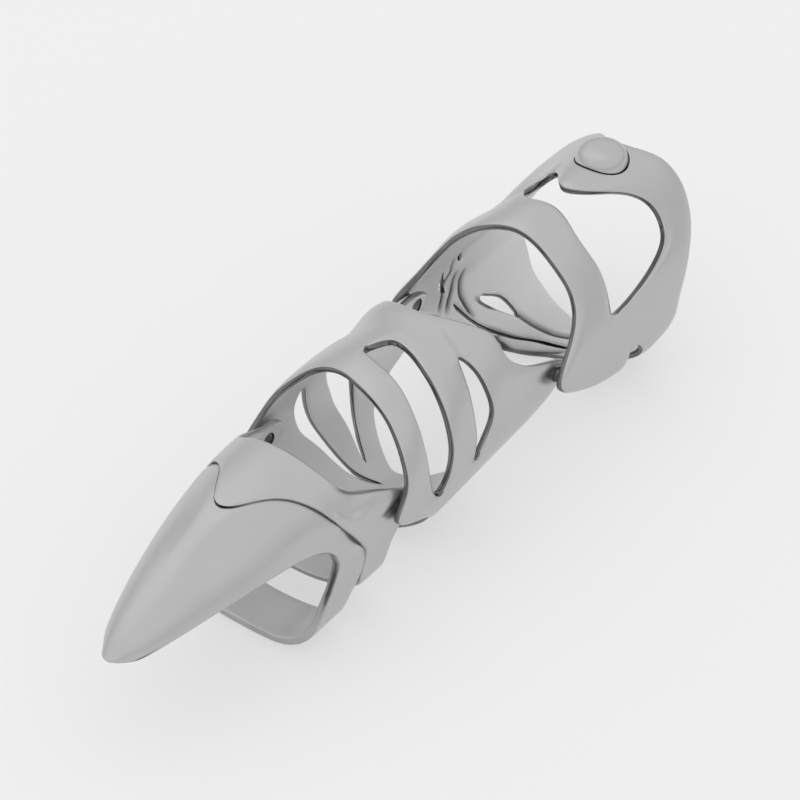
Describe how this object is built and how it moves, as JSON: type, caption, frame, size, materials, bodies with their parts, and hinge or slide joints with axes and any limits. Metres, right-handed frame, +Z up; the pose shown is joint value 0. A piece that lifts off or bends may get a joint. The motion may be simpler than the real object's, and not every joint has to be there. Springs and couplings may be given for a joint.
{
  "type": "knuckle armor ring",
  "caption": "Hinged armour finger ring: pierced curved shells over the knuckles, a pointed nail plate at the fingertip and a small domed stone on the rear band.",
  "frame": {"origin": "on the surface the ring rests on, below the middle of the object's box", "axes": "+Z up from the palm side to the back of the finger; the finger lies along Y with its tip towards -Y; +X to the right of that"},
  "size_m": [0.0247, 0.0968, 0.0255],
  "materials": {
    "satin_silver": "cast silver, satin, worn bright on the rims",
    "polished_silver": "polished dome",
    "pin_silver": "plain wire"
  },
  "bodies": {
    "base": {"base_shell": "satin_silver", "cabochon": "polished_silver", "knuckle_pin_right": "pin_silver", "knuckle_pin_left": "pin_silver"},
    "middle": {"middle_shell": "satin_silver", "fingertip_pin_right": "pin_silver", "fingertip_pin_left": "pin_silver"},
    "tip": {"tip_collar": "satin_silver", "claw": "satin_silver"}
  },
  "joints": [
    {"name": "knuckle", "type": "hinge", "parent": "base", "child": "middle", "pos_m": [0, 0.01905, 0.0118], "axis": [1, 0, 0], "range_deg": [-5, 80]},
    {"name": "fingertip", "type": "hinge", "parent": "middle", "child": "tip", "pos_m": [0, -0.00925, 0.0118], "axis": [1, 0, 0], "range_deg": [-5, 40]}
  ]
}
